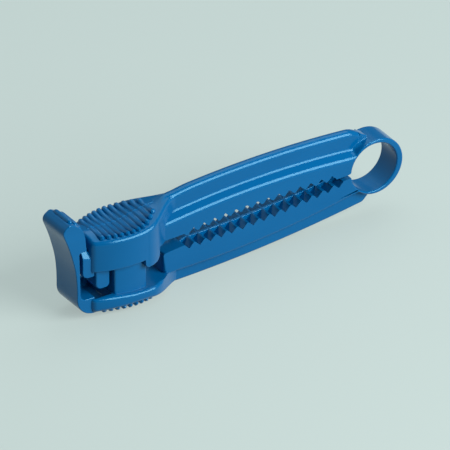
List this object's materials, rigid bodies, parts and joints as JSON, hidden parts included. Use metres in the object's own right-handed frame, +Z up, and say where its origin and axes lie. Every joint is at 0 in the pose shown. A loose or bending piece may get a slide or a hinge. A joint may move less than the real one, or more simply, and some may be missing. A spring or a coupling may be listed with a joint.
{
  "type": "tubing pinch clamp",
  "caption": "One-piece plastic tubing clamp: toothed jaws on ribbed arms hinged by a spring ring, thumb pads with grip ridges, and a hooked release latch.",
  "frame": {"origin": "centre of the spring ring's eye, on the clamp's middle plane", "axes": "+X out through the ring, away from the latch; +Y along the eye's axis; +Z up, from the lower arm to the upper arm"},
  "size_m": [0.1236, 0.019, 0.0361],
  "materials": {
    "blue_plastic": "gloss"
  },
  "bodies": {
    "lower": {"lower_arm": "blue_plastic", "spring_ring": "blue_plastic"},
    "upper": {"upper_arm": "blue_plastic"},
    "release": {"latch": "blue_plastic"}
  },
  "joints": [
    {"name": "jaw_hinge", "type": "hinge", "parent": "lower", "child": "upper", "pos_m": [0, 0, 0], "axis": [0, 1, 0], "range_deg": [-3.1, 0], "stiffness_Nm_per_rad": 0.6, "springref_deg": 14.32, "deforming": ["spring_ring"]},
    {"name": "latch_flex", "type": "hinge", "parent": "lower", "child": "release", "pos_m": [-0.1085, 0, -0.0065], "axis": [0, -1, 0], "range_deg": [0, 10], "stiffness_Nm_per_rad": 0.4}
  ]
}
